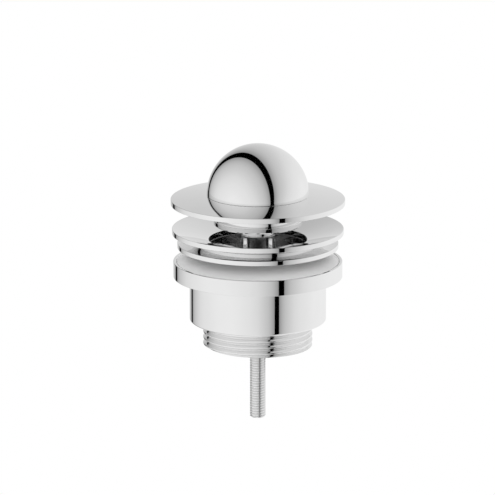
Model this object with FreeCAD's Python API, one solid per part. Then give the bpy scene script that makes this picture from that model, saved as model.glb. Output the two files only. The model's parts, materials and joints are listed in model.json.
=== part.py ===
import FreeCAD, Part
import math
import os

# Free-flow basin waste in millimetres. Z points up along the waste's axis.
# Z = 0 is the seat plane, where the base ring's underside rests on the basin.

# Lift-off cover
BALL_DIAMETER = 39.0
BALL_WALL = 1.6
BALL_CENTRE_RISE = 0.25         # ball centre above its flat foot
BALL_FOOT_EDGE = 0.25           # rounding round the foot
BALL_POST_DIAMETER = 11.0
BALL_THREAD_DEPTH = 12.0
COVER_DIAMETER = 66.5
COVER_THICKNESS = 1.95          # at the rim
COVER_DOME_RADIUS = 250.0       # shallow dome of the disc's top
COVER_EDGE = 0.15               # rounding of the disc's edges
COVER_LIFT = 9.6                # height of the free gap between dish rim and cover
BOSS_DIAMETER = 32.2
BOSS_WALL = 1.8
BOSS_DEPTH = 6.1                # plain wall below the cover, down to the boss ring
BOSS_RING_PROUD = 0.8
BOSS_RING_HEIGHT = 1.85
BOSS_RING_BEVEL = 0.3           # round the ring's foot
BOSS_CONE_FALL = 1.6            # conical bottom, from the ring down to the hub
BOSS_BOTTOM = 1.5
HUB_DIAMETER = 14.3
HUB_HEIGHT = 1.95
SPIGOT_DIAMETER = 10.0          # hub spigot that centres the boss bottom
STUD_DIAMETER = 6.0
STUD_GRIP = 3.2                 # stud length held in the stem
STEM_DIAMETER = 11.0
STEM_RING_SECTION = 1.2
STEM_RING_PITCH = 2.4
STEM_RING_DEPTH = 1.9           # first ring below the hub's shoulder

# Dished flange with its throat
DISH_DIAMETER = 65.5
DISH_RIM = 1.9                  # height of the rim's plain wall
DISH_LIP = 0.6                  # flat on top of the rim
DISH_EDGE = 0.15                # rounding of the rim's edges
DISH_FALL = 3.7
DISH_STANDOFF = 5.5             # rim top above the base ring
OPENING_DIAMETER = 37.6
OPENING_BEVEL = 0.25
CROSS_DEPTH = 2.8               # shoulder for the cross, below the opening's edge
NECK_DIAMETER = 42.2            # shoulder that rests on the base ring
NECK_HEIGHT = 0.85
THROAT_DIAMETER = 40.8
THROAT_BORE = 38.6
THROAT_REACH = 25.0             # below the seat plane

# Base ring
BASE_RING_DIAMETER = 61.5
BASE_RING_THICKNESS = 1.8
BASE_RING_EDGE = 0.15
RING_SEAL_SECTION = 0.9         # round ring in the base ring's bore
SEAT_SEAL_DIAMETER = 53.0       # middle of the seal's width
SEAT_SEAL_WIDTH = 3.0
SEAT_SEAL_THICKNESS = 1.1
SEAT_SEAL_PROUD = 0.2

# Cross insert that carries the clamp screw
CROSS_ARMS = 4
CROSS_RIM_WALL = 1.4
CROSS_RIM_HEIGHT = 6.0
ARM_THICKNESS = 2.2
ARM_HEIGHT = 5.5
ARM_DROP = 0.5                  # arm tops below the cross rim's top
ARM_TURN = 45.0                 # degrees from +X to the first arm
SOCKET_WALL = 1.3
SOCKET_FLOOR = 2.6

# Clamp screw, a socket cap screw M6 x 60
SCREW_DIAMETER = 6.0
SCREW_LENGTH = 60.0
SCREW_HEAD_DIAMETER = 10.0
SCREW_HEAD_HEIGHT = 6.0
SCREW_KEY = 5.0                 # across flats of the key recess
SCREW_KEY_SIDES = 6
SCREW_KEY_DEPTH = 3.0
SCREW_POINT = 0.8
SCREW_SEAT_DEPTH = 7.3          # head seat below the seat plane
WASHER_DIAMETER = 11.0
WASHER_THICKNESS = 1.6

# Waste body
COLLAR_DIAMETER = 64.6
COLLAR_HEIGHT = 5.75
COLLAR_RIM = 1.3
COLLAR_DROP = 5.65              # collar top below the seat plane
COLLAR_EDGE = 0.2
POCKET_DEPTH = 2.5
BODY_DIAMETER = 52.2
BODY_HEIGHT = 17.3              # from the collar's underside
BODY_EDGE = 1.0
CHAMBER_DIAMETER = 46.4
CHAMBER_FLOOR = 1.4             # body bottom thickness at the tail bore
CHAMBER_SLOPE = 1.0
LAND_HEIGHT = 3.6               # bore that guides the throat, below the pocket
TAIL_DIAMETER = 41.91           # pipe thread G 1 1/4, crest diameter
TAIL_LENGTH = 9.9
TAIL_BORE = 35.6
TAIL_RELIEF_DIAMETER = 39.2
TAIL_RELIEF_HEIGHT = 1.0
TAIL_CHAMFER = 0.9
BODY_RING_SECTION = 2.0

# Lower cross in the tail, with its threaded bush
LOWER_ARMS = 4
LOWER_ARM_THICKNESS = 2.4
LOWER_ARM_HEIGHT = 5.0
LOWER_ARM_LIFT = 3.6            # arm undersides above the tail's end
LOWER_HUB_DIAMETER = 12.6
LOWER_HUB_HEIGHT = 7.0
BUSH_DIAMETER = 9.0
BUSH_FLANGE_DIAMETER = 12.0
BUSH_FLANGE_HEIGHT = 1.5

# Rim gasket
GASKET_LIP_DEPTH = 1.6          # inner lip below the seat plane
GASKET_LIP_WIDTH = 1.5
GASKET_EDGE_DROP = 0.1          # outer edge below the collar's top

# Chamfer or rounding of the edges that the named ones leave out
SMALL_EDGE = 0.3

# Clearances
RUNNING_FIT = 0.05              # radial, sliding and threaded pairs
PRESS_GAP = 0.03                # radial, pieces of one body
SCREW_CLEARANCE = 0.2           # radial, clearance hole for the screw
SOCKET_CLEARANCE = 0.1          # radial, stem in its socket
GASKET_BORE_CLEARANCE = 0.4     # radial, gasket round the throat
GASKET_RIM_CLEARANCE = 0.2      # radial, gasket inside the collar rim
STEM_END_CLEARANCE = 0.5        # stem above the screw head

# Levels
BASE_RING_TOP = BASE_RING_THICKNESS
DISH_TOP = BASE_RING_TOP + DISH_STANDOFF
OPENING_TOP = DISH_TOP - DISH_FALL
COVER_UNDERSIDE = DISH_TOP + COVER_LIFT
COVER_TOP = COVER_UNDERSIDE + COVER_THICKNESS
BALL_R = BALL_DIAMETER / 2
BALL_FOOT_R = math.sqrt(BALL_R ** 2 - BALL_CENTRE_RISE ** 2)
DOME_R = COVER_DIAMETER / 2 - COVER_EDGE
DOME_CENTRE = COVER_TOP - math.sqrt(COVER_DOME_RADIUS ** 2 - DOME_R ** 2)
BALL_FOOT = DOME_CENTRE + math.sqrt(COVER_DOME_RADIUS ** 2 - BALL_FOOT_R ** 2)
BALL_CENTRE = BALL_FOOT + BALL_CENTRE_RISE
BOSS_RING_TOP = COVER_UNDERSIDE - BOSS_DEPTH
BOSS_RING_BOTTOM = BOSS_RING_TOP - BOSS_RING_HEIGHT
HUB_TOP = BOSS_RING_BOTTOM - BOSS_CONE_FALL
HUB_BOTTOM = HUB_TOP - HUB_HEIGHT
CROSS_TOP = OPENING_TOP - CROSS_DEPTH
SCREW_SEAT = -SCREW_SEAT_DEPTH
SOCKET_BOTTOM = SCREW_SEAT - WASHER_THICKNESS
STEM_BOTTOM = SCREW_SEAT + SCREW_HEAD_HEIGHT + STEM_END_CLEARANCE
COLLAR_TOP = -COLLAR_DROP
COLLAR_BOTTOM = COLLAR_TOP - COLLAR_HEIGHT
POCKET_FLOOR = COLLAR_TOP - POCKET_DEPTH
LAND_BOTTOM = POCKET_FLOOR - LAND_HEIGHT
BODY_BOTTOM = COLLAR_BOTTOM - BODY_HEIGHT
TAIL_END = BODY_BOTTOM - TAIL_LENGTH
LOWER_ARM_BOTTOM = TAIL_END + LOWER_ARM_LIFT
LOWER_HUB_BOTTOM = LOWER_ARM_BOTTOM - (LOWER_HUB_HEIGHT - LOWER_ARM_HEIGHT) / 2

# Radii shared by mating pieces
OPENING_R = OPENING_DIAMETER / 2
NECK_R = NECK_DIAMETER / 2
THROAT_R = THROAT_DIAMETER / 2
THROAT_BORE_R = THROAT_BORE / 2
SOCKET_BORE_R = STEM_DIAMETER / 2 + SOCKET_CLEARANCE
SOCKET_R = SOCKET_BORE_R + SOCKET_WALL
SCREW_R = SCREW_DIAMETER / 2
SCREW_HOLE_R = SCREW_R + SCREW_CLEARANCE
STUD_R = STUD_DIAMETER / 2
BASE_RING_BORE_R = THROAT_R + RUNNING_FIT
LAND_R = THROAT_R + RUNNING_FIT
POCKET_R = COLLAR_DIAMETER / 2 - COLLAR_RIM
SEAL_IN = SEAT_SEAL_DIAMETER / 2 - SEAT_SEAL_WIDTH / 2
SEAL_OUT = SEAT_SEAL_DIAMETER / 2 + SEAT_SEAL_WIDTH / 2


def rounded_path(corners):
    """Closed edges through (radius, height[, rounding]) corners in the XZ plane."""
    points = [FreeCAD.Vector(c[0], 0, c[1]) for c in corners]
    count = len(points)
    starts, ends, arcs = [], [], []
    for i, corner in enumerate(corners):
        here = points[i]
        rounding = corner[2] if len(corner) > 2 else 0
        if not rounding:
            starts.append(here)
            ends.append(here)
            arcs.append(None)
            continue
        back = (points[i - 1] - here).normalize()
        ahead = (points[(i + 1) % count] - here).normalize()
        half = back.getAngle(ahead) / 2
        reach = rounding / math.tan(half)
        bisector = (back + ahead).normalize()
        middle = here + bisector * (rounding / math.sin(half) - rounding)
        starts.append(here + back * reach)
        ends.append(here + ahead * reach)
        arcs.append(Part.Arc(starts[-1], middle, ends[-1]).toShape())
    edges = []
    for i in range(count):
        if arcs[i]:
            edges.append(arcs[i])
        edges.append(Part.makeLine(ends[i], starts[(i + 1) % count]))
    return edges


def turned(*corners):
    """A solid of revolution about Z from the corners of its half section."""
    face = Part.Face(Part.Wire(rounded_path(corners)))
    return face.revolve(FreeCAD.Vector(0, 0, 0), FreeCAD.Vector(0, 0, 1), 360)


def tube(inner, outer, low, high):
    """A plain round tube between two levels."""
    return turned((inner, low), (outer, low), (outer, high), (inner, high))


def rod(radius, low, high):
    """A plain round bar between two levels."""
    return Part.makeCylinder(radius, high - low, FreeCAD.Vector(0, 0, low))


def o_ring(middle, section, height):
    """A round-section ring about Z."""
    return Part.makeTorus(middle, section / 2, FreeCAD.Vector(0, 0, height))


def spokes(count, thickness, inner, outer, low, high, turn):
    """Radial arms about Z, as one list of solids."""
    arms = []
    for i in range(count):
        corner = FreeCAD.Vector(inner, -thickness / 2, low)
        arm = Part.makeBox(outer - inner, thickness, high - low, corner)
        arm.rotate(FreeCAD.Vector(0, 0, 0), FreeCAD.Vector(0, 0, 1), turn + 360 * i / count)
        arms.append(arm)
    return arms


def stem_ring_heights():
    """Levels of the two rings on the cover's stem."""
    first = HUB_BOTTOM - STEM_RING_DEPTH
    return [first, first - STEM_RING_PITCH]


def ball_knob():
    """Hollow ball on a flat foot, with a tapped post inside."""
    centre = FreeCAD.Vector(0, 0, BALL_CENTRE)
    below = rod(BALL_DIAMETER, BALL_FOOT - BALL_DIAMETER, BALL_FOOT)
    ball = Part.makeSphere(BALL_R, centre).cut(below)
    foot = [edge for edge in ball.Edges if edge.BoundBox.ZMax < BALL_CENTRE]
    ball = ball.makeFillet(BALL_FOOT_EDGE, foot)
    hollow = Part.makeSphere(BALL_R - BALL_WALL, centre)
    post = rod(BALL_POST_DIAMETER / 2, BALL_FOOT, BALL_CENTRE + BALL_R - BALL_WALL / 2)
    thread = rod(STUD_R + PRESS_GAP, BALL_FOOT, BALL_FOOT + BALL_THREAD_DEPTH)
    return ball.cut(hollow).fuse(post).cut(thread)


def cover_disc():
    """Disc that hides the outlet, with a shallow dome up to the flat under the ball."""
    edge = COVER_DIAMETER / 2
    slab = turned(
        (0, COVER_UNDERSIDE),
        (edge, COVER_UNDERSIDE, COVER_EDGE),
        (edge, COVER_TOP, COVER_EDGE),
        (0, COVER_TOP),
    )
    sphere = Part.makeSphere(COVER_DOME_RADIUS, FreeCAD.Vector(0, 0, DOME_CENTRE))
    dome = rod(DOME_R, COVER_UNDERSIDE + COVER_EDGE, BALL_FOOT).common(sphere)
    return slab.fuse(dome).removeSplitter().cut(rod(STUD_R + PRESS_GAP, COVER_UNDERSIDE, BALL_FOOT))


def cover_boss():
    """Cup under the disc, with a conical bottom and a rebate for the boss ring."""
    outer = BOSS_DIAMETER / 2
    inner = outer - BOSS_WALL
    rebate = outer - BOSS_WALL / 2
    seat = HUB_DIAMETER / 2 + BOSS_WALL / 2
    hole = SPIGOT_DIAMETER / 2 + PRESS_GAP
    return turned(
        (hole, HUB_TOP),
        (seat, HUB_TOP),
        (rebate, BOSS_RING_BOTTOM),
        (rebate, BOSS_RING_TOP),
        (outer, BOSS_RING_TOP),
        (outer, COVER_UNDERSIDE),
        (inner, COVER_UNDERSIDE),
        (inner, BOSS_RING_BOTTOM + BOSS_BOTTOM),
        (seat, HUB_TOP + BOSS_BOTTOM),
        (hole, HUB_TOP + BOSS_BOTTOM),
    )


def boss_ring():
    """Ring that stands proud round the foot of the boss."""
    inner = BOSS_DIAMETER / 2 - BOSS_WALL / 2 + PRESS_GAP
    outer = BOSS_DIAMETER / 2 + BOSS_RING_PROUD
    return turned(
        (inner, BOSS_RING_BOTTOM),
        (outer - BOSS_RING_BEVEL, BOSS_RING_BOTTOM),
        (outer, BOSS_RING_BOTTOM + BOSS_RING_BEVEL),
        (outer, BOSS_RING_TOP, COVER_EDGE),
        (inner, BOSS_RING_TOP),
    )


def cover_stem():
    """Hub and round stem that plugs into the socket, tapped for the stud."""
    hub = HUB_DIAMETER / 2
    stem = STEM_DIAMETER / 2
    spigot_top = HUB_TOP + BOSS_BOTTOM
    shape = turned(
        (0, STEM_BOTTOM),
        (stem - SMALL_EDGE, STEM_BOTTOM),
        (stem, STEM_BOTTOM + SMALL_EDGE),
        (stem, HUB_BOTTOM),
        (hub, HUB_BOTTOM, COVER_EDGE),
        (hub, HUB_TOP),
        (SPIGOT_DIAMETER / 2, HUB_TOP),
        (SPIGOT_DIAMETER / 2, spigot_top),
        (0, spigot_top),
    )
    groove = ring_middle_on_stem() - STEM_RING_SECTION / 2 - PRESS_GAP
    half = STEM_RING_SECTION / 2 + PRESS_GAP
    for height in stem_ring_heights():
        shape = shape.cut(tube(groove, hub, height - half, height + half))
    return shape.cut(rod(STUD_R + PRESS_GAP, spigot_top - STUD_GRIP, spigot_top))


def ring_middle_on_stem():
    """Middle radius of the stem's rings, which reach almost to the socket's bore."""
    return SOCKET_BORE_R - RUNNING_FIT - STEM_RING_SECTION / 2


def stem_o_rings():
    """Two rings that grip the socket."""
    middle = ring_middle_on_stem()
    rings = [o_ring(middle, STEM_RING_SECTION, height) for height in stem_ring_heights()]
    return Part.makeCompound(rings)


def cover_stud():
    """Threaded stud that ties ball, disc, boss and stem together."""
    low = HUB_TOP + BOSS_BOTTOM - STUD_GRIP
    high = BALL_FOOT + BALL_THREAD_DEPTH - SCREW_POINT
    return turned(
        (0, low),
        (STUD_R - SCREW_POINT, low),
        (STUD_R, low + SCREW_POINT),
        (STUD_R, high - SCREW_POINT),
        (STUD_R - SCREW_POINT, high),
        (0, high),
    )


def dish_flange():
    """Dished flange, neck and throat in one turned piece, with a shoulder for the cross."""
    rim = DISH_DIAMETER / 2
    return turned(
        (THROAT_BORE_R, CROSS_TOP),
        (THROAT_BORE_R, -THROAT_REACH),
        (THROAT_R - SMALL_EDGE, -THROAT_REACH),
        (THROAT_R, -THROAT_REACH + SMALL_EDGE),
        (THROAT_R, BASE_RING_TOP),
        (NECK_R, BASE_RING_TOP),
        (NECK_R, BASE_RING_TOP + NECK_HEIGHT),
        (rim - DISH_RIM, DISH_TOP - DISH_RIM),
        (rim, DISH_TOP - DISH_RIM, DISH_EDGE),
        (rim, DISH_TOP, DISH_EDGE),
        (rim - DISH_LIP, DISH_TOP),
        (OPENING_R + OPENING_BEVEL, OPENING_TOP),
        (OPENING_R, OPENING_TOP - OPENING_BEVEL),
        (OPENING_R, CROSS_TOP),
    )


def ring_seal():
    """Round ring in the base ring's bore that seals it to the throat."""
    middle = BASE_RING_BORE_R + RING_SEAL_SECTION / 2
    return o_ring(middle, RING_SEAL_SECTION, BASE_RING_THICKNESS / 2)


def base_ring():
    """Flat ring under the dish that bears on the basin."""
    outer = BASE_RING_DIAMETER / 2
    ring = turned(
        (BASE_RING_BORE_R, 0),
        (outer, 0, BASE_RING_EDGE),
        (outer, BASE_RING_TOP, BASE_RING_EDGE),
        (BASE_RING_BORE_R, BASE_RING_TOP),
    )
    half = RING_SEAL_SECTION / 2 + PRESS_GAP
    middle = BASE_RING_THICKNESS / 2
    bottom = BASE_RING_BORE_R + RING_SEAL_SECTION + PRESS_GAP
    groove = tube(THROAT_R, bottom, middle - half, middle + half)
    seat = tube(SEAL_IN, SEAL_OUT, 0, SEAT_SEAL_THICKNESS - SEAT_SEAL_PROUD)
    return ring.cut(groove).cut(seat)


def seat_seal():
    """Seal set in the base ring's underside, a little proud of it."""
    low = -SEAT_SEAL_PROUD
    return tube(SEAL_IN + PRESS_GAP, SEAL_OUT - PRESS_GAP, low, low + SEAT_SEAL_THICKNESS)


def cross_insert():
    """Rim, arms and central socket, seated against the shoulder in the throat."""
    outer = THROAT_BORE_R - PRESS_GAP
    inner = outer - CROSS_RIM_WALL
    rim = tube(inner, outer, CROSS_TOP - CROSS_RIM_HEIGHT, CROSS_TOP)
    arm_top = CROSS_TOP - ARM_DROP
    arms = spokes(
        CROSS_ARMS, ARM_THICKNESS, SOCKET_BORE_R + SOCKET_WALL / 2, inner + CROSS_RIM_WALL / 2,
        arm_top - ARM_HEIGHT, arm_top, ARM_TURN,
    )
    socket = turned(
        (SCREW_HOLE_R, SOCKET_BOTTOM - SOCKET_FLOOR),
        (SOCKET_R - SMALL_EDGE, SOCKET_BOTTOM - SOCKET_FLOOR),
        (SOCKET_R, SOCKET_BOTTOM - SOCKET_FLOOR + SMALL_EDGE),
        (SOCKET_R, HUB_BOTTOM),
        (SOCKET_BORE_R, HUB_BOTTOM),
        (SOCKET_BORE_R, SOCKET_BOTTOM),
        (SCREW_HOLE_R, SOCKET_BOTTOM),
    )
    return rim.fuse(arms + [socket]).removeSplitter()


def screw_washer():
    """Plain washer under the screw head."""
    return tube(SCREW_HOLE_R, WASHER_DIAMETER / 2, SOCKET_BOTTOM, SCREW_SEAT)


def clamp_screw():
    """Long cap screw that draws the waste body up under the basin."""
    head = SCREW_HEAD_DIAMETER / 2
    head_top = SCREW_SEAT + SCREW_HEAD_HEIGHT
    tip = SCREW_SEAT - SCREW_LENGTH
    screw = turned(
        (0, tip),
        (SCREW_R - SCREW_POINT, tip),
        (SCREW_R, tip + SCREW_POINT),
        (SCREW_R, SCREW_SEAT),
        (head, SCREW_SEAT),
        (head, head_top, SMALL_EDGE),
        (0, head_top),
    )
    step = 2 * math.pi / SCREW_KEY_SIDES
    corner = SCREW_KEY / 2 / math.cos(step / 2)
    angles = [step * i for i in range(SCREW_KEY_SIDES + 1)]
    floor = head_top - SCREW_KEY_DEPTH
    points = [FreeCAD.Vector(corner * math.cos(a), corner * math.sin(a), floor) for a in angles]
    key = Part.Face(Part.makePolygon(points))
    return screw.cut(key.extrude(FreeCAD.Vector(0, 0, SCREW_KEY_DEPTH)))


def body_shell():
    """Collar, body and tail as one turned casting."""
    collar = COLLAR_DIAMETER / 2
    body = BODY_DIAMETER / 2
    chamber = CHAMBER_DIAMETER / 2
    tail = TAIL_DIAMETER / 2
    bore = TAIL_BORE / 2
    relief = TAIL_RELIEF_DIAMETER / 2
    floor = BODY_BOTTOM + CHAMBER_FLOOR
    return turned(
        (LAND_R, POCKET_FLOOR),
        (LAND_R, LAND_BOTTOM),
        (chamber, LAND_BOTTOM),
        (chamber, floor + CHAMBER_SLOPE),
        (bore, floor),
        (bore, TAIL_END),
        (tail - TAIL_CHAMFER, TAIL_END),
        (tail, TAIL_END + TAIL_CHAMFER),
        (tail, BODY_BOTTOM - TAIL_RELIEF_HEIGHT),
        (relief, BODY_BOTTOM - TAIL_RELIEF_HEIGHT),
        (relief, BODY_BOTTOM),
        (body, BODY_BOTTOM, BODY_EDGE),
        (body, COLLAR_BOTTOM),
        (collar, COLLAR_BOTTOM, COLLAR_EDGE),
        (collar, COLLAR_TOP, COLLAR_EDGE),
        (POCKET_R, COLLAR_TOP),
        (POCKET_R, POCKET_FLOOR),
    )


def body_ring_height():
    """Level of the ring that seals the throat, in the middle of the land."""
    return (POCKET_FLOOR + LAND_BOTTOM) / 2


def waste_body():
    """Casting with the ring groove in its land and the cross in its tail."""
    half = BODY_RING_SECTION / 2 + PRESS_GAP
    height = body_ring_height()
    groove = tube(THROAT_R, LAND_R + BODY_RING_SECTION + PRESS_GAP, height - half, height + half)
    arms = spokes(
        LOWER_ARMS, LOWER_ARM_THICKNESS, BUSH_DIAMETER / 2 + PRESS_GAP, TAIL_RELIEF_DIAMETER / 2,
        LOWER_ARM_BOTTOM, LOWER_ARM_BOTTOM + LOWER_ARM_HEIGHT, 0,
    )
    hub = rod(LOWER_HUB_DIAMETER / 2, LOWER_HUB_BOTTOM, LOWER_HUB_BOTTOM + LOWER_HUB_HEIGHT)
    casting = body_shell().fuse(arms + [hub]).removeSplitter().cut(groove)
    top = LOWER_HUB_BOTTOM + LOWER_HUB_HEIGHT
    return casting.cut(rod(BUSH_DIAMETER / 2 + PRESS_GAP, LOWER_HUB_BOTTOM, top))


def threaded_bush():
    """Tapped bush with a collar that bears up against the lower hub."""
    thread = SCREW_R + RUNNING_FIT
    body = BUSH_DIAMETER / 2
    flange = BUSH_FLANGE_DIAMETER / 2
    low = LOWER_HUB_BOTTOM - BUSH_FLANGE_HEIGHT
    return turned(
        (thread, low),
        (flange, low, SMALL_EDGE),
        (flange, LOWER_HUB_BOTTOM),
        (body, LOWER_HUB_BOTTOM),
        (body, LOWER_HUB_BOTTOM + LOWER_HUB_HEIGHT),
        (thread, LOWER_HUB_BOTTOM + LOWER_HUB_HEIGHT),
    )


def body_o_ring():
    """Ring in the body's land that seals the sliding throat."""
    middle = LAND_R + BODY_RING_SECTION / 2
    return o_ring(middle, BODY_RING_SECTION, body_ring_height())


def rim_gasket():
    """Conical gasket in the collar's pocket, highest round the throat."""
    inner = THROAT_R + GASKET_BORE_CLEARANCE
    outer = POCKET_R - GASKET_RIM_CLEARANCE
    lip = -GASKET_LIP_DEPTH
    return turned(
        (inner, POCKET_FLOOR),
        (outer, POCKET_FLOOR),
        (outer, COLLAR_TOP - GASKET_EDGE_DROP, SMALL_EDGE),
        (inner + GASKET_LIP_WIDTH, lip, SMALL_EDGE),
        (inner, lip),
    )


NODES = {
    "ball_knob": ball_knob,
    "cover_disc": cover_disc,
    "cover_boss": cover_boss,
    "boss_ring": boss_ring,
    "cover_stem": cover_stem,
    "stem_o_rings": stem_o_rings,
    "cover_stud": cover_stud,
    "dish_flange": dish_flange,
    "ring_seal": ring_seal,
    "base_ring": base_ring,
    "seat_seal": seat_seal,
    "cross_insert": cross_insert,
    "screw_washer": screw_washer,
    "clamp_screw": clamp_screw,
    "waste_body": waste_body,
    "threaded_bush": threaded_bush,
    "body_o_ring": body_o_ring,
    "rim_gasket": rim_gasket,
}

os.makedirs("parts", exist_ok=True)
for node, make in NODES.items():
    shape = make()
    shape.exportStep(f"parts/{node}.step")
    box = shape.BoundBox
    print(f"{node:15s} solids {len(shape.Solids)} valid {shape.isValid()} "
          f"z {box.ZMin:.2f} to {box.ZMax:.2f} r {box.XMax:.2f} volume {shape.Volume:.0f}")
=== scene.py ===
import json
import math

import bpy
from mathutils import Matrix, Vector


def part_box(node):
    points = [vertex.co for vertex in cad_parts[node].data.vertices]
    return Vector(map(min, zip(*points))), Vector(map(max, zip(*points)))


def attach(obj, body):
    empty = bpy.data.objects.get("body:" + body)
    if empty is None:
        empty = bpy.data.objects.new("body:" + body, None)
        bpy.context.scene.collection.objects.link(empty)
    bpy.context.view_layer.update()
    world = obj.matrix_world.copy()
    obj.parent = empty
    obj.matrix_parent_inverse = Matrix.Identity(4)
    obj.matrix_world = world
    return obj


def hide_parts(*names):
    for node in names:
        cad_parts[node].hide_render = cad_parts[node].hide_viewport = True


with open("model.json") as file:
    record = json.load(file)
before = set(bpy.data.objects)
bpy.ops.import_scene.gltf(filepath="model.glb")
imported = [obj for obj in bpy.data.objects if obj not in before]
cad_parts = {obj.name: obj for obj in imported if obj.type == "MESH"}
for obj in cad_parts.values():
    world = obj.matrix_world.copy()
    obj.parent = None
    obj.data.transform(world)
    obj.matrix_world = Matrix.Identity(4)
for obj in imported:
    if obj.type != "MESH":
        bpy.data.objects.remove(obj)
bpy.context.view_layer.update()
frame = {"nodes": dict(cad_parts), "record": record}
mm = 0.001

# every shape below is given in mm, and every turn in degrees

meshing = {
    "steps": 200,                        # round a turned piece
    "smallSteps": 96,                    # round a piece of a few mm
    "roundingCuts": 5,
    "barCuts": 3,
    "near": 0.001,                       # points closer than this are one
    "past": 1.0,                         # how far a cutter reaches past the piece
    "smoothAngle": 40.0,
    "normalWeight": 60,
}

# selection and modifiers

def pickOnly(piece):
    bpy.ops.object.select_all(action="DESELECT")
    piece.select_set(True)
    bpy.context.view_layer.objects.active = piece


def editWhole(piece):                    # edit mode with everything selected
    pickOnly(piece)
    bpy.ops.object.mode_set(mode="EDIT")
    bpy.ops.mesh.select_all(action="SELECT")


def leaveEdit():
    bpy.ops.object.mode_set(mode="OBJECT")


def faceOutward(piece):
    editWhole(piece)
    bpy.ops.mesh.remove_doubles(threshold=meshing["near"] * mm)
    bpy.ops.mesh.normals_make_consistent(inside=False)
    leaveEdit()


def applyModifier(piece, kind, settings):
    pickOnly(piece)
    modifier = piece.modifiers.new(kind, kind)
    for name, value in settings.items():
        setattr(modifier, name, value)
    bpy.ops.object.modifier_apply(modifier=modifier.name)


def smoothByAngle(piece):                # large faces keep their own normals beside narrow roundings
    pickOnly(piece)
    bpy.ops.object.shade_smooth_by_angle(angle=math.radians(meshing["smoothAngle"]))
    settings = {"keep_sharp": True, "weight": meshing["normalWeight"]}
    applyModifier(piece, "WEIGHTED_NORMAL", settings)


def pickVertices(piece, wanted):         # selects in object mode, then enters edit mode
    pickOnly(piece)
    bpy.ops.object.mode_set(mode="EDIT")
    bpy.ops.mesh.select_mode(type="VERT")
    bpy.ops.mesh.select_all(action="DESELECT")
    leaveEdit()
    for vertex in piece.data.vertices:
        vertex.select = wanted(vertex)
    bpy.ops.object.mode_set(mode="EDIT")


def looseEnds(piece):                    # vertices of edges that border fewer faces than they should
    borders = {}
    if piece.data.polygons:
        for face in piece.data.polygons:
            for key in face.edge_keys:
                borders[key] = borders.get(key, 0) + 1
        return {i for key, count in borders.items() if count == 1 for i in key}
    for edge in piece.data.edges:
        for i in edge.vertices:
            borders[i] = borders.get(i, 0) + 1
    return {i for i, count in borders.items() if count == 1}


def closeEnds(piece, ends):
    pickVertices(piece, lambda vertex: vertex.index in ends)
    bpy.ops.mesh.edge_face_add()
    leaveEdit()


# profiles, and what is made of them

def drawProfile(name, corners):          # joins (radius, height, rounding) corners beside the axis
    bpy.ops.object.select_all(action="DESELECT")
    bpy.ops.mesh.primitive_plane_add(size=mm)
    piece = bpy.context.object
    piece.name = name
    bpy.ops.object.mode_set(mode="EDIT")
    bpy.ops.mesh.select_mode(type="VERT")
    bpy.ops.mesh.select_all(action="SELECT")
    bpy.ops.mesh.merge(type="CENTER")
    spots = [Vector((corner[0], 0, corner[1])) * mm for corner in corners]
    bpy.ops.transform.translate(value=spots[0])
    for last, spot in zip(spots, spots[1:]):
        bpy.ops.mesh.extrude_vertices_move(TRANSFORM_OT_translate={"value": spot - last})
    leaveEdit()
    if corners[0][0] > 0:                # a line that starts on the axis stays open
        closeEnds(piece, looseEnds(piece))
    near = meshing["near"] * mm
    for rounding in sorted({corner[2] for corner in corners if len(corner) > 2}):
        soft = [spot for spot, corner in zip(spots, corners) if corner[2:] == (rounding,)]
        pickVertices(piece, lambda vertex: any((vertex.co - spot).length < near for spot in soft))
        bpy.ops.mesh.bevel(offset=rounding * mm, segments=meshing["roundingCuts"], affect="VERTICES")
        leaveEdit()
    return piece


def turnedPiece(name, corners, steps=meshing["steps"]):
    piece = drawProfile(name, corners)
    applyModifier(piece, "SCREW", {
        "axis": "Z", "angle": 2 * math.pi, "steps": steps, "render_steps": steps,
        "use_merge_vertices": True, "merge_threshold": meshing["near"] * mm,
    })
    faceOutward(piece)
    smoothByAngle(piece)
    return piece


def straightBar(name, size, middle, turn, edge):
    bpy.ops.object.select_all(action="DESELECT")
    bpy.ops.mesh.primitive_cube_add(size=mm)
    piece = bpy.context.object
    piece.name = name
    editWhole(piece)
    bpy.ops.transform.resize(value=size, center_override=(0, 0, 0))
    bpy.ops.mesh.bevel(offset=edge * mm, segments=meshing["barCuts"], affect="EDGES")
    bpy.ops.mesh.select_all(action="SELECT")
    bpy.ops.transform.translate(value=Vector(middle) * mm)
    bpy.ops.transform.rotate(value=math.radians(turn), orient_axis="Z", center_override=(0, 0, 0))
    leaveEdit()
    return piece


def combine(piece, other, operation):    # the other piece is used up
    settings = {"operation": operation, "solver": "MANIFOLD", "object": other}
    applyModifier(piece, "BOOLEAN", settings)
    bpy.data.objects.remove(other)


def addCrossedBars(piece, size, level, turn, edge):
    for angle in (turn, turn + 90):
        combine(piece, straightBar("bar", size, (0, 0, level), angle, edge), "UNION")


# threads: one groove is turned round the axis and cut out, as a die cuts it

tailThread = {
    "crest": 20.955, "depth": 1.45, "pitch": 2.309, "flank": 27.5,
    "rounding": 0.3,                     # radius at the root
    "crestReach": 0.16,                  # length that the crest's rounding takes of each side
    "land": 0.05,                        # width left at the crest
    "flare": 0.02, "clear": 0.3,         # the cutter's sides rise past the crest by these
    "start": -39.9, "top": -29.7, "steps": 120,
}
screwThread = {
    "crest": 3.0, "depth": 0.4, "pitch": 1.0, "flank": 30, "rounding": 0.08, "crestReach": 0.03,
    "land": 0.36, "flare": 0.01, "clear": 0.08, "start": -67.9, "top": -22.0, "steps": 48,
}


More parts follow.
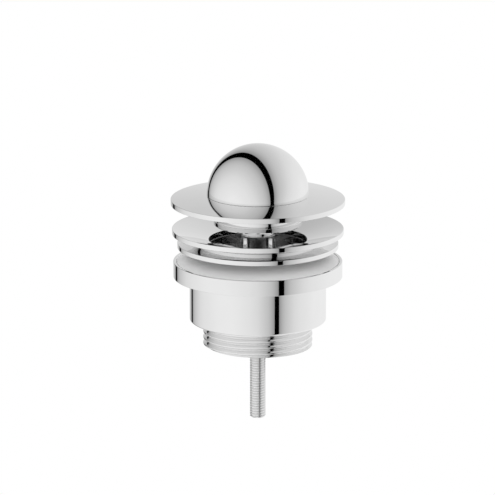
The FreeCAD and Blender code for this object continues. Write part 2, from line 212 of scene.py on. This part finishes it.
def threadCutter(name, thread):
    t = thread
    flank = math.radians(t["flank"])
    crest, rounding, start = t["crest"], t["rounding"], t["start"]
    apex = crest - t["depth"] - rounding * (1 / math.sin(flank) - 1)
    corner = (crest - apex) * math.tan(flank)
    side = (t["pitch"] - t["land"]) / 2
    cutter = drawProfile(name, [
        (apex, start, rounding / math.tan(flank)), (crest, start - corner, t["crestReach"]),
        (crest + t["flare"], start - side), (crest + t["clear"], start - side),
        (crest + t["clear"], start + side), (crest + t["flare"], start + side),
        (crest, start + corner, t["crestReach"]),
    ])
    turns = (t["top"] - start) / t["pitch"]
    steps = math.ceil(turns * t["steps"])
    applyModifier(cutter, "SCREW", {
        "axis": "Z", "angle": 2 * math.pi * turns, "steps": steps, "render_steps": steps,
        "screw_offset": t["pitch"] * turns * mm, "use_merge_vertices": False,
    })
    loose = looseEnds(cutter)
    middle = (start + t["top"]) / 2 * mm
    low = {i for i in loose if cutter.data.vertices[i].co.z < middle}
    for ends in (low, loose - low):      # a face on each end of the groove
        closeEnds(cutter, ends)
    editWhole(cutter)
    bpy.ops.mesh.normals_make_consistent(inside=False)
    leaveEdit()
    return cutter


def cutThread(piece, thread):
    combine(piece, threadCutter("cutter", thread), "DIFFERENCE")
    smoothByAngle(piece)


# waste body, gasket and screw

bodyShape = {
    "throat": 20.45, "floor": -7.9, "pocket": 31.0, "collar": 32.3, "collarTop": -5.4,
    "collarFoot": -11.5, "edge": 0.2,
    "lead": 0.5,                         # rounding of the pocket's mouth
    "ring": (22.48, -8.67, -10.73),      # radius, top and foot of the seal's groove
    "chamber": 23.2, "slopeTop": -26.3, "slopeFoot": -27.3, "bore": 17.8, "foot": -38.6,
    "chamfer": 0.3, "relief": 19.6, "barrel": 26.1, "barrelFoot": -28.7, "barrelEdge": 0.8,
    "steps": 240,
}
lowerCross = {
    "width": 2.4, "length": 39.2, "foot": -35.0, "top": -30.0, "turn": 0.0, "edge": 0.3,
    "hub": 6.3, "hubFoot": -36.0, "hubTop": -29.0,
    "bush": 4.53,                        # bore that the brass bush sits in
}


def threadedBody():
    b, c, past = bodyShape, lowerCross, meshing["past"]
    ring, ringTop, ringFoot = b["ring"]
    crest, top = tailThread["crest"], tailThread["top"]
    piece = turnedPiece("wasteBody", [
        (b["throat"], b["floor"]), (b["throat"], ringTop), (ring, ringTop), (ring, ringFoot),
        (b["throat"], ringFoot), (b["throat"], b["collarFoot"]), (b["chamber"], b["collarFoot"]),
        (b["chamber"], b["slopeTop"]), (b["bore"], b["slopeFoot"]), (b["bore"], b["foot"]),
        (crest - b["chamfer"], b["foot"]), (crest, b["foot"] + b["chamfer"]),
        (crest, top), (b["relief"], top),
        (b["relief"], b["barrelFoot"]), (b["barrel"], b["barrelFoot"], b["barrelEdge"]),
        (b["barrel"], b["collarFoot"]), (b["collar"], b["collarFoot"], b["edge"]),
        (b["collar"], b["collarTop"], b["edge"]), (b["pocket"], b["collarTop"], b["lead"]),
        (b["pocket"], b["floor"]),
    ], b["steps"])
    combine(piece, turnedPiece("hub", [
        (0, c["hubFoot"]), (c["hub"], c["hubFoot"], c["edge"]),
        (c["hub"], c["hubTop"], c["edge"]), (0, c["hubTop"]),
    ], meshing["smallSteps"]), "UNION")
    size = (c["length"], c["width"], c["top"] - c["foot"])
    addCrossedBars(piece, size, (c["foot"] + c["top"]) / 2, c["turn"], c["edge"])
    combine(piece, turnedPiece("bush", [
        (0, c["hubFoot"] - past), (c["bush"], c["hubFoot"] - past),
        (c["bush"], c["hubTop"] + past), (0, c["hubTop"] + past),
    ], meshing["smallSteps"]), "DIFFERENCE")
    cutThread(piece, tailThread)
    return piece


gasketShape = {
    "lip": -1.6, "lipWidth": 1.5, "bore": 20.8, "edge": 30.95, "edgeTop": -5.38, "floor": -7.9,
    "rounding": 0.2,
}


def conicalGasket():
    g = gasketShape
    return turnedPiece("rimGasket", [
        (g["bore"], g["floor"]), (g["edge"], g["floor"]), (g["edge"], g["edgeTop"], g["rounding"]),
        (g["bore"] + g["lipWidth"], g["lip"], g["rounding"]), (g["bore"], g["lip"]),
    ])


screwShape = {
    "tip": -67.3, "point": 0.5, "tipRounding": 0.15, "seat": -7.3, "head": 5.0, "headTop": -1.3,
    "edge": 0.3, "key": 5.0, "keyDepth": 3.0,
}


def sixSidedKey():
    s = screwShape
    radius = s["key"] / 2 / math.cos(math.pi / 6)
    bpy.ops.object.select_all(action="DESELECT")
    bpy.ops.mesh.primitive_cylinder_add(vertices=6, radius=radius * mm, depth=2 * s["keyDepth"] * mm)
    key = bpy.context.object
    editWhole(key)
    bpy.ops.transform.translate(value=(0, 0, s["headTop"] * mm))
    leaveEdit()
    return key


def threadedScrew():
    s = screwShape
    crest = screwThread["crest"]
    piece = turnedPiece("clampScrew", [
        (0, s["tip"]), (crest - s["point"], s["tip"], s["tipRounding"]),
        (crest, s["tip"] + s["point"]), (crest, s["seat"]), (s["head"], s["seat"]),
        (s["head"], s["headTop"], s["edge"]), (0, s["headTop"]),
    ], meshing["smallSteps"])
    combine(piece, sixSidedKey(), "DIFFERENCE")
    cutThread(piece, screwThread)
    return piece


# cover

discShape = {
    "edge": 33.25, "underside": 16.9, "top": 18.85, "rounding": 0.15, "bore": 3.03,
    "domeRadius": 250.0, "domeSteps": 16,
}


def domedDisc():
    d = discShape
    dome, count = d["domeRadius"], d["domeSteps"]
    rim = d["edge"] - d["rounding"]
    centre = d["top"] - math.sqrt(dome ** 2 - rim ** 2)
    radii = [rim + (d["bore"] - rim) * i / count for i in range(1, count + 1)]
    return turnedPiece("coverDisc", [
        (d["bore"], d["underside"]), (d["edge"], d["underside"], d["rounding"]),
        (d["edge"], d["top"], d["rounding"]),
    ] + [(radius, centre + math.sqrt(dome ** 2 - radius ** 2)) for radius in radii])


ballShape = {
    "radius": 19.5,
    "rise": 0.25,                        # of the centre above the foot
    "rounding": 0.25, "bore": 3.03, "depth": 12.0, "arc": 64, "steps": 256,
}


def ballOnFoot():
    b = ballShape
    radius, count = b["radius"], b["arc"]
    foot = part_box("ball_knob")[0].z / mm
    centre = foot + b["rise"]
    low = -math.asin(b["rise"] / radius)
    angles = [low + (math.pi / 2 - low) * i / count for i in range(1, count)]
    arc = [(radius * math.cos(a), centre + radius * math.sin(a)) for a in angles]
    return turnedPiece("ballKnob", [
        (0, foot + b["depth"]), (b["bore"], foot + b["depth"]), (b["bore"], foot),
        (radius * math.cos(low), foot, b["rounding"]),
    ] + arc + [(0, centre + radius)], b["steps"])


bossShape = {
    "wall": 16.1, "inside": 14.3, "rebate": 15.2, "seat": 8.05, "hole": 5.03, "top": 16.9,
    "ringTop": 10.8, "ringFoot": 8.95, "seatLevel": 7.35, "thick": 1.5,
}
bossRingShape = {"inside": 15.23, "outside": 16.9, "bevel": 0.3, "rounding": 0.15}


def bossCup():
    b = bossShape
    return turnedPiece("coverBoss", [
        (b["hole"], b["seatLevel"]), (b["seat"], b["seatLevel"]), (b["rebate"], b["ringFoot"]),
        (b["rebate"], b["ringTop"]), (b["wall"], b["ringTop"]), (b["wall"], b["top"]),
        (b["inside"], b["top"]), (b["inside"], b["ringFoot"] + b["thick"]),
        (b["seat"], b["seatLevel"] + b["thick"]), (b["hole"], b["seatLevel"] + b["thick"]),
    ])


def ringOnBoss():
    r = bossRingShape
    top, foot = bossShape["ringTop"], bossShape["ringFoot"]
    return turnedPiece("bossRing", [
        (r["inside"], foot), (r["outside"] - r["bevel"], foot), (r["outside"], foot + r["bevel"]),
        (r["outside"], top, r["rounding"]), (r["inside"], top),
    ])


stemShape = {
    "foot": -0.8, "radius": 5.5, "chamfer": 0.3,
    "grooves": ((0.47, 1.73), (2.87, 4.13)), "grooveRadius": 4.32,
    "hub": 7.15, "taper": 0.2, "hubFoot": 5.4, "hubTop": 7.35, "rounding": 0.15,
    "spigot": 5.0, "top": 8.85, "tap": 3.03, "tapFoot": 5.65,
}


def hubAndStem():
    s = stemShape
    radius, deep, chamfer = s["radius"], s["grooveRadius"], s["chamfer"]
    line = [(0, s["foot"]), (radius - chamfer, s["foot"]), (radius, s["foot"] + chamfer)]
    for low, high in s["grooves"]:
        line += [(radius, low), (deep, low), (deep, high), (radius, high)]
    return turnedPiece("coverStem", line + [
        (radius, s["hubFoot"]), (s["hub"], s["hubFoot"], s["rounding"]),
        (s["hub"] - s["taper"], s["hubTop"]), (s["spigot"], s["hubTop"]), (s["spigot"], s["top"]),
        (s["tap"], s["top"]), (s["tap"], s["tapFoot"]), (0, s["tapFoot"]),
    ])


# flange

dishShape = {
    "rim": 32.75, "top": 7.3, "wall": 1.9, "lip": 0.2, "rounding": 0.15,
    "opening": 18.8, "openingTop": 3.1, "bevel": 0.1, "ledge": 0.8,
    "bore": 19.3, "throat": 20.4, "foot": -25.0, "chamfer": 0.3,
    "neck": 22.8, "neckFoot": 1.8, "step": 2.4, "flare": 2.5, "neckTop": 4.6, "underRim": 1.4,
}


def dishAndThroat():
    d = dishShape
    underside = d["top"] - d["wall"]
    return turnedPiece("dishFlange", [
        (d["bore"], d["ledge"]), (d["bore"], d["foot"]), (d["throat"] - d["chamfer"], d["foot"]),
        (d["throat"], d["foot"] + d["chamfer"]), (d["throat"], d["neckFoot"]),
        (d["neck"], d["neckFoot"]), (d["neck"], d["step"]), (d["neck"] + d["flare"], d["neckTop"]),
        (d["rim"] - d["underRim"], underside), (d["rim"], underside, d["rounding"]),
        (d["rim"], d["top"], d["rounding"]), (d["rim"] - d["lip"], d["top"]),
        (d["opening"] + d["bevel"], d["openingTop"]),
        (d["opening"], d["openingTop"] - d["bevel"]), (d["opening"], d["ledge"]),
    ])


crossShape = {
    "rimIn": 18.75, "rimOut": 19.27, "rimTop": 0.8, "rimFoot": -5.2,
    "socket": 6.9, "socketTop": 5.4, "socketBore": 5.6, "socketFloor": -8.9, "screwHole": 3.2,
    "foot": -11.5, "topRounding": 0.25, "footRounding": 0.3,
    "armWidth": 2.2, "armEdge": 0.3, "armTop": -2.6, "armFoot": -5.2, "armLength": 37.8,
    "turn": 45.0,
}


def crossAndSocket():
    c, past = crossShape, meshing["past"]
    piece = turnedPiece("crossInsert", [
        (c["rimIn"], c["rimFoot"]), (c["rimOut"], c["rimFoot"]), (c["rimOut"], c["rimTop"]),
        (c["rimIn"], c["rimTop"]),
    ])
    combine(piece, turnedPiece("socket", [
        (0, c["foot"]), (c["socket"], c["foot"], c["footRounding"]),
        (c["socket"], c["socketTop"], c["topRounding"]), (0, c["socketTop"]),
    ]), "UNION")
    size = (c["armLength"], c["armWidth"], c["armTop"] - c["armFoot"])
    addCrossedBars(piece, size, (c["armFoot"] + c["armTop"]) / 2, c["turn"], c["armEdge"])
    combine(piece, turnedPiece("hollow", [
        (0, c["foot"] - past), (c["screwHole"], c["foot"] - past),
        (c["screwHole"], c["socketFloor"]), (c["socketBore"], c["socketFloor"]),
        (c["socketBore"], c["socketTop"] + past), (0, c["socketTop"] + past),
    ]), "DIFFERENCE")
    smoothByAngle(piece)
    return piece


baseShape = {
    "bore": 20.45, "outside": 30.75, "top": 1.8, "rounding": 0.15,
    "seal": (25.0, 28.0, 0.9),           # inside, outside and depth of the lower seal's groove
    "groove": (21.38, 0.42, 1.38),       # radius, foot and top of the groove in the bore
}


def flatBaseRing():
    r = baseShape
    inner, outer, roof = r["seal"]
    deep, low, high = r["groove"]
    return turnedPiece("baseRing", [
        (r["bore"], 0), (inner, 0), (inner, roof), (outer, roof), (outer, 0),
        (r["outside"], 0, r["rounding"]), (r["outside"], r["top"], r["rounding"]),
        (r["bore"], r["top"]), (r["bore"], high), (deep, high), (deep, low), (r["bore"], low),
    ])


# materials

class Wire:                              # an output socket that takes part in arithmetic
    def __init__(self, graph, socket):
        self.graph = graph
        self.socket = socket

    def mathNode(self, operation, first, second=0.0):
        return self.graph.add("ShaderNodeMath", {"operation": operation}, {0: first, 1: second})

    def __add__(self, other):
        return self.mathNode("ADD", self, other)

    def __sub__(self, other):
        return self.mathNode("SUBTRACT", self, other)

    def __rsub__(self, other):
        return self.mathNode("SUBTRACT", other, self)

    def __mul__(self, other):
        return self.mathNode("MULTIPLY", self, other)

    def __truediv__(self, other):
        return self.mathNode("DIVIDE", self, other)

    def __rtruediv__(self, other):
        return self.mathNode("DIVIDE", other, self)

    def __abs__(self):
        return self.mathNode("ABSOLUTE", self)

    __radd__ = __add__
    __rmul__ = __mul__


class Graph:                             # the nodes of one material or world
    def __init__(self, owner):
        owner.use_nodes = True
        self.tree = owner.node_tree
        self.tree.nodes.clear()

    def add(self, kind, settings=None, sockets=None, output=0):
        node = self.tree.nodes.new(kind)
        for name, value in (settings or {}).items():
            if name == "stops":
                self.setStops(node.color_ramp.elements, value)
            else:
                setattr(node, name, value)
        for name, value in (sockets or {}).items():
            if isinstance(value, Wire):
                self.tree.links.new(value.socket, node.inputs[name])
            else:
                node.inputs[name].default_value = value
        return Wire(self, node.outputs[output]) if node.outputs else node

    def setStops(self, elements, stops):
        while len(elements) < len(stops):
            elements.new(1.0)
        for element, (position, level) in zip(elements, stops):
            element.position = position
            element.color = grey(level)

    def mixColour(self, share, first, second):
        settings = {"data_type": "RGBA"}
        return self.add("ShaderNodeMix", settings, {0: share, 6: first, 7: second}, output=2)


def grey(level):
    return (level, level, level, 1)


def startMaterial(name):                 # the material, its graph and the place on the piece
    material = bpy.data.materials.new(name)
    graph = Graph(material)
    return material, graph, graph.add("ShaderNodeTexCoord", output="Object")


def closeSurface(graph, settings):       # the surface shader and the output, last in each material
    shader = graph.add("ShaderNodeBsdfPrincipled", {}, settings)
    graph.add("ShaderNodeOutputMaterial", {}, {"Surface": shader})


noiseDetail = {"cloud": 4, "grain": 2, "wave": 1}
bumpDepth = 0.02                         # mm


def noise(graph, place, look, kind):
    scale = look[kind + "Scale"]
    sockets = {"Vector": place, "Scale": scale, "Detail": noiseDetail[kind]}
    return graph.add("ShaderNodeTexNoise", {}, sockets)


def bumped(graph, height, strength):
    sockets = {"Height": height, "Strength": strength, "Distance": bumpDepth * mm}
    return graph.add("ShaderNodeBump", {}, sockets)


def radiusFromAxis(graph, place):
    flat = graph.add("ShaderNodeVectorMath", {"operation": "MULTIPLY"}, {0: place, 1: (1, 1, 0)})
    return graph.add("ShaderNodeVectorMath", {"operation": "LENGTH"}, {0: flat}, output="Value")


chromeLook = {"colours": (0.83, 0.79), "cloudScale": 90, "roughness": 0.02, "spread": 0.03,
              "waveScale": 260, "wave": 0.06}
dullChromeLook = {**chromeLook, "colours": (0.8, 0.74), "roughness": 0.13, "spread": 0.07}


def chromePlate(name, look):
    material, graph, place = startMaterial(name)
    first, second = look["colours"]
    cloud = noise(graph, place, look, "cloud")
    wave = noise(graph, place, look, "wave")
    closeSurface(graph, {
        "Base Color": graph.mixColour(cloud, grey(first), grey(second)),
        "Metallic": 1.0,
        "Roughness": cloud * look["spread"] + look["roughness"],
        "Normal": bumped(graph, wave, look["wave"]),
    })
    return material


greyRubberLook = {"colours": (0.9, 0.84), "cloudScale": 140, "roughness": 0.5, "spread": 0.15,
                  "grainScale": 5200, "grain": 0.25}
blackRubberLook = {"colours": (0.02, 0.045), "cloudScale": 300, "roughness": 0.45, "spread": 0.2,
                   "grainScale": 6000, "grain": 0.3}


def mouldedRubber(name, look):
    material, graph, place = startMaterial(name)
    first, second = look["colours"]
    cloud = noise(graph, place, look, "cloud")
    grain = noise(graph, place, look, "grain")
    closeSurface(graph, {
        "Base Color": graph.mixColour(cloud, grey(first), grey(second)),
        "Roughness": cloud * look["spread"] + look["roughness"],
        "Normal": bumped(graph, grain, look["grain"]),
    })
    return material


brassLook = {"colours": ((0.66, 0.46, 0.2, 1), (0.52, 0.36, 0.16, 1)), "cloudScale": 200,
             "roughness": 0.2, "spread": 0.15, "ringScale": 1500, "ringWobble": 0.4, "rings": 0.15}


def turnedBrass():
    look = brassLook
    material, graph, place = startMaterial("turnedBrass")
    cloud = noise(graph, place, look, "cloud")
    rings = graph.add(
        "ShaderNodeTexWave", {"wave_type": "RINGS", "rings_direction": "Z"},
        {"Vector": place, "Scale": look["ringScale"], "Distortion": look["ringWobble"]})
    closeSurface(graph, {
        "Base Color": graph.mixColour(cloud, *look["colours"]),
        "Metallic": 1.0,
        "Roughness": cloud * look["spread"] + look["roughness"],
        "Normal": bumped(graph, rings, look["rings"]),
    })
    return material


# the root tone is painted light, brighter than the crest, laid into the thread's grooves where shade
# falls
steelLook = {"crest": 0.66, "root": 0.92, "cloudScale": 420, "roughness": 0.14, "spread": 0.08,
             "grain": 0.1}


def rolledSteel():                       # painted light: the roots of its thread are painted brighter than the crests, against the shade that falls in the grooves
    look = steelLook
    material, graph, place = startMaterial("rolledSteel")
    cloud = noise(graph, place, look, "cloud")
    depth = screwThread["depth"] * mm
    root = screwThread["crest"] * mm - depth
    # painted light mask: 0 at the thread's crest, 1 at its root
    paintedGrooveLight = 1 - (radiusFromAxis(graph, place) - root) / depth
    closeSurface(graph, {
        "Base Color": graph.mixColour(paintedGrooveLight, grey(look["crest"]), grey(look["root"])),
        "Metallic": 1.0,
        "Roughness": cloud * look["spread"] + look["roughness"],
        "Normal": bumped(graph, cloud, look["grain"]),
    })
    return material


# studio

studio = {
    "bandAzimuth": 32.2,                 # degrees to the right of the camera, seen from the part
    "bandHalfWidth": (4.75, 3.0, -1.2),  # degrees, as a polynomial of the ray's height
    "rampEnd": 20.0,                     # half widths from the band to where the ramp ends
    "stops": [(0.0, 0.0), (0.049, 0.0), (0.051, 0.36), (0.075, 0.42), (0.125, 0.55), (0.185, 0.65),
              (0.29, 0.75), (0.40, 0.85), (0.55, 0.92), (0.65, 0.94), (0.9, 1.0)],
    "floorLevel": -0.3,                  # metres
    "floorSize": 6.0,
    "floorGrey": 0.9,
}


def studioWorld():
    world = bpy.data.worlds.new("studioWorld")
    bpy.context.scene.world = world
    graph = Graph(world)
    direction = graph.add("ShaderNodeTexCoord", output="Generated")
    turn = math.radians(studio["bandAzimuth"])
    across = (math.cos(turn), math.sin(turn), 0)
    side = graph.add("ShaderNodeVectorMath", {"operation": "DOT_PRODUCT"},
                     {0: direction, 1: across}, output="Value")
    degrees = side.mathNode("ARCSINE", abs(side)) * math.degrees(1)
    rise = graph.add("ShaderNodeSeparateXYZ", {}, {0: direction}, output="Z")
    base, linear, square = studio["bandHalfWidth"]
    halfWidth = rise * rise * square + rise * linear + base
    ramp = graph.add("ShaderNodeValToRGB", {"stops": studio["stops"]},
                     {0: degrees / halfWidth / studio["rampEnd"]})
    glossy = graph.add("ShaderNodeLightPath", output="Is Glossy Ray")
    colour = graph.mixColour(glossy, grey(1.0), ramp)
    background = graph.add("ShaderNodeBackground", {}, {"Color": colour, "Strength": 1.0})
    graph.add("ShaderNodeOutputWorld", {}, {"Surface": background})


def paleFloor():
    bpy.ops.object.select_all(action="DESELECT")
    bpy.ops.mesh.primitive_plane_add(size=studio["floorSize"])
    floor = bpy.context.object
    floor.name = "floor"
    editWhole(floor)
    bpy.ops.transform.translate(value=(0, 0, studio["floorLevel"]))
    leaveEdit()
    material = bpy.data.materials.new("paleFloor")
    graph = Graph(material)
    pale = graph.add("ShaderNodeBsdfDiffuse", {}, {"Color": grey(studio["floorGrey"])})
    white = graph.add("ShaderNodeEmission", {}, {"Color": grey(1.0), "Strength": 1.0})
    clear = graph.add("ShaderNodeBsdfTransparent")
    glossy = graph.add("ShaderNodeLightPath", output="Is Glossy Ray")
    seen = graph.add("ShaderNodeLightPath", output="Is Camera Ray")
    solid = graph.add("ShaderNodeMixShader", {}, {0: glossy, 1: pale, 2: clear})
    surface = graph.add("ShaderNodeMixShader", {}, {0: seen, 1: solid, 2: white})
    graph.add("ShaderNodeOutputMaterial", {}, {"Surface": surface})
    floor.data.materials.append(material)


view = {
    "elevation": 14.0, "distance": 2.0,  # degrees and metres
    "aim": (-3.95, 0.0, -0.354),         # mm
    "pixelsPerMm": 2.62, "imageWidth": 495,
}


def productCamera():
    width = view["imageWidth"] / view["pixelsPerMm"] * mm
    tilt = math.radians(view["elevation"])
    aim = Vector(view["aim"]) * mm
    data = bpy.data.cameras.new("camera")
    data.angle = 2 * math.atan(width / 2 / view["distance"])
    camera = bpy.data.objects.new("camera", data)
    bpy.context.scene.collection.objects.link(camera)
    camera.location = aim + view["distance"] * Vector((0, -math.cos(tilt), math.sin(tilt)))
    camera.rotation_euler = (math.pi / 2 - tilt, 0, 0)
    bpy.context.scene.camera = camera


# making

def dress(piece, material):
    piece.data.materials.clear()
    piece.data.materials.append(material)


productCamera()
studioWorld()
paleFloor()
bpy.context.scene.view_settings.view_transform = "Standard"
print("camera, world and floor")

finishes = {
    "chrome_plate": chromePlate("chromePlate", chromeLook),
    "grey_rubber": mouldedRubber("greyRubber", greyRubberLook),
    "black_rubber": mouldedRubber("blackRubber", blackRubberLook),
    "brass": turnedBrass(),
    "steel": rolledSteel(),
}
nodeFinishes = {                         # inside the throat the plate isn't polished
    "cross_insert": chromePlate("dullChrome", dullChromeLook),
}
slots = {part["node"]: part["material_slot"] for part in frame["record"]["subparts"]}
for node, piece in frame["nodes"].items():
    dress(piece, finishes[slots[node]])
print("finishes on", len(slots), "nodes")

pieces = {
    "cover_disc": ("cover", domedDisc), "cover_boss": ("cover", bossCup),
    "boss_ring": ("cover", ringOnBoss), "ball_knob": ("cover", ballOnFoot),
    "cover_stem": ("cover", hubAndStem), "dish_flange": ("flange", dishAndThroat),
    "base_ring": ("flange", flatBaseRing), "cross_insert": ("flange", crossAndSocket),
    "rim_gasket": ("waste", conicalGasket), "waste_body": ("waste", threadedBody),
    "clamp_screw": ("screw", threadedScrew),
}
for node, (body, make) in pieces.items():
    piece = make()
    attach(piece, body)
    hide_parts(node)
    dress(piece, nodeFinishes.get(node, finishes[slots[node]]))
    print(piece.name, "faces:", len(piece.data.polygons))
